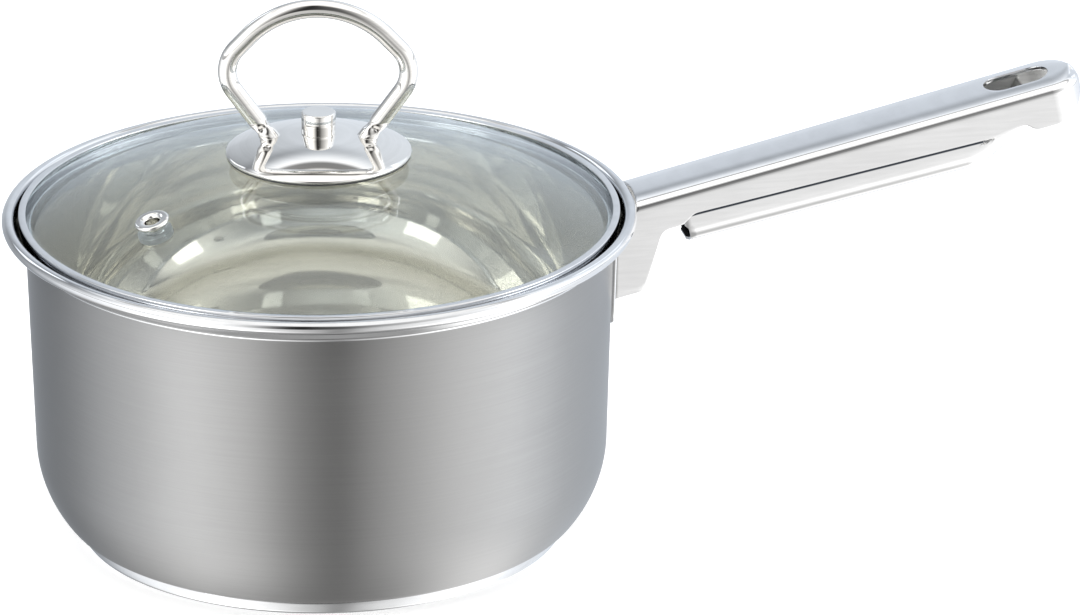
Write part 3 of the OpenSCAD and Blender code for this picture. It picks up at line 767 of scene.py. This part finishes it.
bmesh.ops.recalc_face_normals(pad, faces=pad.faces)
pad_mesh = bpy.data.meshes.new("handle_plate_bent")
pad.to_mesh(pad_mesh)
pad.free()
pad_mesh.materials.append(polished_steel)
finish_piece("handle_plate_bent", pad_mesh, "pan", ["handle_plate"])

# %% [markdown]
# ## The cover of the handle
# The handle is a channel stamped from sheet. Its side walls change depth: deep legs at the pan,
# a hook, a long seam along the insert, and a rounded tip. The outer skin is laid out as a grid
# of points: along the handle in one direction, and from one lower edge over the top to the
# other in the second. Giving the sheet its thickness and cutting the slot come afterwards.

# %% The line of the handle
HANDLE_TILT = math.radians(12.4)
LINE_HEIGHT = rim_top - 20.8
ROOT = WALL_RADIUS / math.cos(HANDLE_TILT)
TIP = ROOT + 136.0
on_line = (Matrix.Translation((0, 0, LINE_HEIGHT * MM)) @ Matrix.Rotation(HANDLE_TURN, 4, "Z")
           @ Matrix.Rotation(-HANDLE_TILT, 4, "Y"))
ROOT_HALF = 20.7 / 2
TIP_HALF = 23.4 / 2
SHOULDER_BEND = 2.5
CROWN = 1.0
crown_ball = (ROOT_HALF ** 2 + CROWN ** 2) / (2 * CROWN)
TIP_BEND = 9.5
NOSE = 10.0
TIP_DEPTH = 11.0


def half_at(s):
    """Half the width of the handle at a distance along its line."""
    return ROOT_HALF + (TIP_HALF - ROOT_HALF) * (s - ROOT) / (TIP - ROOT)


def crown_at(a):
    """Height of the crowned top at a distance from the middle line."""
    return CROWN - crown_ball + math.sqrt(crown_ball ** 2 - a * a)


print("handle runs from", round(ROOT, 1), "to", round(TIP, 1), "mm")

# %% Where the handle starts
def pan_reach(height):
    """How far the pan, its plate and its curled rim reach out at a height."""
    rim_gap = 0.4
    under = rim_top - 2 * CURL - rim_gap
    if height > under:
        return rim_radius + rim_gap
    if height > PLATE_HIGH:
        share = (height - PLATE_HIGH) / (under - PLATE_HIGH)
        low = wall_radius(PLATE_HIGH) + PLATE_THICK
        return low + share * (rim_radius - 2 * CURL + SHEET + rim_gap - low)
    return wall_radius(height) + PLATE_THICK


def start_of(a, b):
    """Where the line at a across and b up from the handle's line leaves the pan."""
    inside_until = 60.0
    s = inside_until
    while s < 100:
        height = LINE_HEIGHT + s * math.sin(HANDLE_TILT) + b * math.cos(HANDLE_TILT)
        out = s * math.cos(HANDLE_TILT) - b * math.sin(HANDLE_TILT)
        if math.hypot(out, a) < pan_reach(height):
            inside_until = s
        s += 0.05
    return inside_until + 0.05


top_start = start_of(0, 0)
print("the top starts", round(top_start, 1), "mm from the axis")

# %% The lower edge of the cover
LEG = 25.5
HOOK = 9.6
SEAM_NEAR = 7.2
SEAM_FAR = 9.8
INSERT_START = ROOT + 18.2
INSERT_END = INSERT_START + 83.0
RUN_OUT_END = INSERT_END + 17.0
STEP_END = RUN_OUT_END + 1.4
HOOK_BEND = 4.0


def along(points, count):
    """The same line as evenly spaced points."""
    lengths = [0.0]
    for p, q in zip(points, points[1:]):
        lengths.append(lengths[-1] + math.dist(p, q))
    made = []
    for k in range(count + 1):
        want = lengths[-1] * k / count
        i = max(j for j in range(len(points)) if lengths[j] <= want + 1e-9)
        i = min(i, len(points) - 2)
        t = (want - lengths[i]) / max(1e-9, lengths[i + 1] - lengths[i])
        made.append((points[i][0] + t * (points[i + 1][0] - points[i][0]),
                     points[i][1] + t * (points[i + 1][1] - points[i][1])))
    return made


ROOT_PART_END = INSERT_START + 6
LEG_END = ROOT + 3.9
SEAM_BEND = 3.0
leg_line = [(start_of(ROOT_HALF, -LEG), -LEG), (LEG_END - 2, -LEG)]
leg_line += arc((LEG_END - 2, 2 - LEG), 2, -80, -30, 5)
leg_line += arc((ROOT + 10 + HOOK_BEND, -HOOK - HOOK_BEND), HOOK_BEND, 150, 90, 7)
leg_line += [(INSERT_START - 0.6, -HOOK)]
leg_line += arc((INSERT_START + 4, -SEAM_NEAR - SEAM_BEND), SEAM_BEND, 130, 90, 5)
leg_line += [(ROOT_PART_END, -SEAM_NEAR - 0.05)]
print("root part ends at", round(ROOT_PART_END, 1))

# %% Stations along the rest of the handle
seam_line = [(ROOT_PART_END, -SEAM_NEAR - 0.05), (STEP_END - 12, -SEAM_FAR),
             (STEP_END - 4.8, 1.2 - SEAM_FAR), (STEP_END - 2.4, 1.2 - SEAM_FAR),
             (STEP_END, -TIP_DEPTH), (TIP - NOSE, -TIP_DEPTH)]
seam_line = eased(seam_line, 1.6, 4)


def depth_at(s):
    """Height of the lower edge at a station beyond the root part."""
    if s > TIP - NOSE:
        return NOSE - TIP_DEPTH - math.sqrt(max(0.0, NOSE ** 2 - (s - TIP + NOSE) ** 2))
    for (s0, b0), (s1, b1) in zip(seam_line, seam_line[1:]):
        if s0 <= s <= s1:
            return b0 + (b1 - b0) * (s - s0) / max(1e-9, s1 - s0)
    return -TIP_DEPTH


CORNER_START = TIP - TIP_BEND
body_stations = [ROOT_PART_END + (STEP_END - 14 - ROOT_PART_END) * k / 40 for k in range(1, 41)]
body_stations += [STEP_END - 14 + 0.5 * k for k in range(1, 30)]
last = body_stations[-1]
body_stations += [last + (CORNER_START - last) * k / 24 for k in range(1, 25)]
print(len(body_stations), "stations")

# %% Rows of points across the handle
WALL_STEPS = 12
BEND_STEPS = 8
CROWN_STEPS = 28
BEND_ARC = 77.0
bend_points = []
for k in range(1, BEND_STEPS + 1):
    t = math.radians(BEND_ARC * k / BEND_STEPS)
    bend_points.append((SHOULDER_BEND * (1 - math.cos(t)), SHOULDER_BEND * (math.sin(t) - 1)))
bend_in, bend_top = bend_points[-1]


def chord_at(s):
    """Half the width between the shoulders, which narrows round the tip."""
    if s <= CORNER_START:
        return half_at(s) - bend_in
    inner = TIP_BEND - bend_in
    return half_at(CORNER_START) - TIP_BEND + math.sqrt(max(0.0, inner ** 2 - (s - CORNER_START) ** 2))


def top_at(s, a):
    """Height of the crowned top at a station, a distance across."""
    chord = chord_at(s)
    return bend_top + (CROWN - bend_top) * (1 - min(1.0, abs(a) / chord) ** 2)


def mirrored_row(side, crown_s):
    """A full row: one side, the crown between, and the other side turned over."""
    s_end, a_end, b_end = side[-1]
    crown = []
    for k in range(1, CROWN_STEPS):
        a = a_end * (1 - 2 * k / CROWN_STEPS)
        s = crown_s(a) if crown_s else s_end
        crown.append((s, a, b_end + (CROWN - bend_top) * (1 - (a / a_end) ** 2)))
    return side + crown + [(s, -a, b) for s, a, b in reversed(side)]


print("a row has", 2 * (WALL_STEPS + 1 + BEND_STEPS) + CROWN_STEPS - 1, "points")

# %% Rows at the root
ROOT_ROWS = 34
lower = along(leg_line, ROOT_ROWS)
wall_start = start_of(ROOT_HALF, -SHOULDER_BEND)
rows = []
for i in range(ROOT_ROWS + 1):
    u = i / ROOT_ROWS
    side = []
    for j in range(WALL_STEPS + 1):
        v = j / WALL_STEPS
        straight = (1 - v) * lower[i][0] + v * (wall_start + u * (ROOT_PART_END - wall_start))
        first = start_of(ROOT_HALF, -LEG + v * (LEG - SHOULDER_BEND))
        bow = first - ((1 - v) * lower[0][0] + v * wall_start)
        b = (1 - v) * lower[i][1] - v * SHOULDER_BEND
        side.append((straight + (1 - u) ** 2 * bow, half_at(straight), b))
    for d, b in bend_points:
        first = start_of(ROOT_HALF - d, b)
        s = first + u * (ROOT_PART_END - first)
        side.append((s, half_at(s) - d, b))

    def crown_start(a, u=u):
        """Station of the crown in this row, behind the edge of the rim."""
        first = start_of(a, top_at(ROOT, a))
        return first + u * (ROOT_PART_END - first)

    rows.append(mirrored_row(side, crown_start))
print(len(rows), "rows at the root")

# %% Rows along the handle and round its corners
slot_rows = []
for s in body_stations:
    low = depth_at(s)
    side = [(s, half_at(s), low + (-SHOULDER_BEND - low) * j / WALL_STEPS)
            for j in range(WALL_STEPS + 1)]
    side += [(s, half_at(s) - d, b) for d, b in bend_points]
    rows.append(mirrored_row(side, None))
CORNER_ROWS = 20
corner_first = len(rows)
for i in range(1, CORNER_ROWS + 1):
    turn_by = math.radians(90 * i / CORNER_ROWS)
    out_s, out_a = math.sin(turn_by), math.cos(turn_by)
    s_edge = CORNER_START + TIP_BEND * out_s
    a_edge = half_at(CORNER_START) - TIP_BEND + TIP_BEND * out_a
    low = min(depth_at(s_edge), -SHOULDER_BEND)
    side = [(s_edge, a_edge, low + (-SHOULDER_BEND - low) * j / WALL_STEPS)
            for j in range(WALL_STEPS + 1)]
    side += [(s_edge - d * out_s, a_edge - d * out_a, b) for d, b in bend_points]
    rows.append(mirrored_row(side, None))
print(len(rows), "rows in all")

# %% Leave room for the slot
SLOT_LONG = 18.5
SLOT_WIDE = 10.4
slot_far = TIP - 7.8 - SLOT_WIDE / 2
slot_near = slot_far - (SLOT_LONG - SLOT_WIDE)
SIDE = WALL_STEPS + 1 + BEND_STEPS
body_first = ROOT_ROWS + 1
gap_first = body_first + min(i for i, s in enumerate(body_stations) if s > slot_near - SLOT_WIDE / 2 - 3)
slot_clear = slot_far + SLOT_WIDE / 2 + 1.0
gap_last = next(i for i in range(corner_first, len(rows)) if rows[i][SIDE - 1][0] > slot_clear)
print("the slot lies between rows", gap_first, "and", gap_last)


def slot_edge(s, a):
    """The point of the slot's edge that faces a point of the top."""
    centre = min(max(s, slot_near), slot_far)
    away = Vector((s - centre, a)).normalized() * (SLOT_WIDE / 2)
    return centre + away.x, away.y


# %% Stretch the skin over the rows
skin = bmesh.new()
grid = [[skin.verts.new(p) for p in row] for row in rows]
columns = len(rows[0])
left, right = SIDE - 1, columns - SIDE
for i in range(len(grid) - 1):
    for j in range(columns - 1):
        if gap_first <= i < gap_last and left <= j < right:
            continue
        skin.faces.new((grid[i][j], grid[i + 1][j], grid[i + 1][j + 1], grid[i][j + 1]))

border = [grid[gap_first][j] for j in range(left, right)]
border += [grid[i][right] for i in range(gap_first, gap_last)]
border += [grid[gap_last][j] for j in range(right, left, -1)]
border += [grid[i][left] for i in range(gap_last, gap_first, -1)]
RINGS = 6
outer_ring = border
for k in range(1, RINGS + 1):
    t = k / RINGS
    ring = []
    for point in border:
        s_slot, a_slot = slot_edge(point.co.x, point.co.y)
        s = point.co.x + t * (s_slot - point.co.x)
        a = point.co.y + t * (a_slot - point.co.y)
        ring.append(skin.verts.new((s, a, top_at(s, a))))
    for m in range(len(ring)):
        n = (m + 1) % len(ring)
        skin.faces.new((outer_ring[m], outer_ring[n], ring[n], ring[m]))
    outer_ring = ring
print("skin has", len(skin.faces), "faces before its end is closed")

# %% Close the rounded end
end_row = grid[-1]
previous = [end_row[j] for j in range(left, right + 1)]
for k in range(BEND_STEPS - 1, -1, -1):
    d, b = bend_points[k - 1] if k > 0 else (0.0, -SHOULDER_BEND)
    j_left = WALL_STEPS + k
    j_right = columns - 1 - j_left
    fade = k / BEND_STEPS
    line = [end_row[j_left]]
    for m in range(1, CROWN_STEPS):
        a = previous[m].co.y
        crown = (CROWN - bend_top) * (1 - (a / previous[0].co.y) ** 2)
        line.append(skin.verts.new((TIP - d, a, b + crown * fade * fade * (3 - 2 * fade))))
    line.append(end_row[j_right])
    for m in range(CROWN_STEPS):
        skin.faces.new((previous[m], line[m], line[m + 1], previous[m + 1]))
    previous = line
nose_rows = [i for i in range(body_first, len(grid)) if grid[i][0].co.x >= TIP - NOSE - 0.01]
last_line = None
for i in nose_rows:
    if i == nose_rows[-1]:
        line = previous
    else:
        near, far = grid[i][0], grid[i][-1]
        line = [near] + [skin.verts.new(near.co.lerp(far.co, m / CROWN_STEPS))
                         for m in range(1, CROWN_STEPS)] + [far]
    if last_line:
        for m in range(CROWN_STEPS):
            skin.faces.new((last_line[m], last_line[m + 1], line[m + 1], line[m]))
    last_line = line
bmesh.ops.remove_doubles(skin, verts=skin.verts, dist=0.004)
bmesh.ops.dissolve_degenerate(skin, edges=skin.edges, dist=0.002)
bmesh.ops.recalc_face_normals(skin, faces=skin.faces)
crown_face = min(skin.faces, key=lambda f: (f.calc_center_median() - Vector((140, 0, 1))).length)
if crown_face.normal.z < 0:
    bmesh.ops.reverse_faces(skin, faces=skin.faces)
print("skin closed:", len(skin.faces), "faces")


# %% Give the sheet its thickness
def sheet_piece(name, drawing, thickness, bevel, finish, inside, nodes):
    """Turns a skin into sheet metal: thickness inwards, rounded edges, smooth shading."""
    for face in drawing.faces:
        face.smooth = True
    mesh = bpy.data.meshes.new(name)
    drawing.to_mesh(mesh)
    drawing.free()
    mesh.transform(Matrix.Scale(MM, 4))
    mesh.materials.append(finish)
    mesh.materials.append(inside)
    piece = finish_piece(name, mesh, "pan", nodes, on_line)
    thick = piece.modifiers.new("sheet", "SOLIDIFY")
    thick.thickness = thickness * MM
    thick.offset = -1
    thick.use_even_offset = True
    thick.material_offset = 1
    soft = piece.modifiers.new("edges", "BEVEL")
    soft.width = bevel * MM
    soft.segments = 2
    soft.limit_method = "ANGLE"
    soft.angle_limit = math.radians(50)
    soft.harden_normals = False
    return piece


cover = sheet_piece("handle_cover_stamped", skin, 1.0, 0.38, handle_steel, pale_steel,
                    ["handle_cover"])

# %% [markdown]
# ## The insert of the handle
# A second channel, rounded below, closes the underside. Its near end is open, and the inside of the hollow there
# is painted near-black as shade; its far end runs out into the cover. Its rows are U-shaped.
# A hair-thin dark line along the cover's edge is painted shade: the insert's colour is darkened where the seam
# would lie in shadow.

# %% A finish with a painted shade line along the seam
insert_steel = handle_steel.copy()
insert_steel.name = "insert_steel"
tree = insert_steel.node_tree
shader = tree.nodes["Principled BSDF"]
bare = shader.inputs["Base Color"].links[0].from_socket
# Painted shade: the base colour turns near-black by a share stored at each point beside the seam.
painted_seam_shade = add_node(tree, "ShaderNodeAttribute", attribute_name="seam_shade").outputs["Fac"]
tree.links.new(blend_of(tree, painted_seam_shade, bare, (0.05, 0.06, 0.075, 1)), shader.inputs["Base Color"])
print("insert finish has", len(tree.nodes), "nodes")

# %% Loft the insert
INSERT_DEPTH = 17.1
GROWTH = 1.9
INSERT_BEND = 6.5
INSERT_TOP = 4.6 - SEAM_NEAR
RUN_OUT = 17.0
belly = [(INSERT_START, -INSERT_DEPTH), (INSERT_END, -INSERT_DEPTH - GROWTH),
         (INSERT_END + 0.26 * RUN_OUT, -INSERT_DEPTH - 0.9),
         (INSERT_END + 0.53 * RUN_OUT, 1.6 - INSERT_DEPTH),
         (INSERT_END + 0.74 * RUN_OUT, 3.6 - INSERT_DEPTH), (RUN_OUT_END, -TIP_DEPTH - 1.0),
         (RUN_OUT_END + 1.0, -SEAM_NEAR), (RUN_OUT_END + 3.4, INSERT_TOP - 0.9)]
belly = eased(belly, 3.0, 6)
belly_line = along(belly[:2], 40) + along(belly[1:], 60)[1:]
MOUTH_TRIM = 0.8


def seam_at(s):
    """Height of the cover's lower edge beside the insert."""
    return depth_at(s) if s > ROOT_PART_END else -SEAM_NEAR


trough = bmesh.new()
seam_shade = trough.verts.layers.float.new("seam_shade")
rows = []
for s, low in belly_line:
    wide = half_at(s) - 1.0
    bend = min(INSERT_BEND, max(0.4, (INSERT_TOP - low) * 0.48))
    bend_from = low + bend
    seam = seam_at(s)
    marks = [INSERT_TOP, seam + 0.4, seam, seam - 0.5, seam - 0.95, seam - 1.2, seam - 1.5,
             bend_from + 0.8]
    tall = min(1.0, max(0.0, (seam - bend_from) / 1.5 - 0.4))
    side = [(wide, max(b, bend_from + 0.06 * (8 - j))) for j, b in enumerate(marks)]
    side += [(wide, bend_from)]
    side += [(wide - bend + bend * math.cos(math.radians(t)), low + bend - bend * math.sin(math.radians(t)))
             for t in range(10, 91, 10)]
    low_half = wide - bend
    flat = [(low_half * (1 - 2 * j / 10), low) for j in range(1, 10)]
    line = side + flat + [(-a, b) for a, b in reversed(side)]
    near_end = max(0.0, 1 - (s - INSERT_START) / 25) ** 2
    row = []
    for a, b in line:
        corner = math.sqrt(max(0.0, 1 - ((abs(a) - low_half) / bend - 0.75) ** 2 / 0.5)) if b < low + bend else 0
        slant = max(0.0, -HOOK - b) * 0.05
        made = trough.verts.new((s + near_end * (slant + MOUTH_TRIM * corner), a, b))
        # Share of painted shade: full up to about a millimetre below the cover's edge, fading out just beneath.
        made[seam_shade] = tall * min(1.0, max(0.0, (b - seam + 1.2) / 0.25))
        row.append(made)
    rows.append(row)
for low_row, high_row in zip(rows, rows[1:]):
    for j in range(len(low_row) - 1):
        trough.faces.new((low_row[j], low_row[j + 1], high_row[j + 1], high_row[j]))
bmesh.ops.recalc_face_normals(trough, faces=trough.faces)
belly_face = min(trough.faces, key=lambda f: (f.calc_center_median() - Vector((140, 0, -17))).length)
if belly_face.normal.z > 0:
    bmesh.ops.reverse_faces(trough, faces=trough.faces)
# The inside of the insert takes the near-black painted shade.
insert = sheet_piece("handle_insert_rolled", trough, 0.8, 0.15, insert_steel, hollow_shade_steel,
                     ["handle_insert"])
insert.modifiers["sheet"].use_even_offset = False
insert.data.materials.append(insert_steel)
insert.data.materials.append(pale_steel)
# More than 40 mm in, the inside turns pale; nearer the mouth it keeps the painted shade.
for face in insert.data.polygons:
    if face.center.x > (INSERT_START + 40) * MM:
        face.material_index = 2
print("insert rolled")

# %% Finish the carried-over nodes
CARRIED = {
    "base_core": core_aluminium, "vent_washer": pale_silicone,
    "knob_seal": silicone, "lid_screw": satin_steel, "screw_washer": satin_steel,
    "glass_pad": silicone,
}
for name, finish in CARRIED.items():
    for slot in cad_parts[name].material_slots:
        slot.material = finish
print(len(CARRIED), "packed nodes have a finish")

# %% Update the scene
bpy.context.view_layer.update()
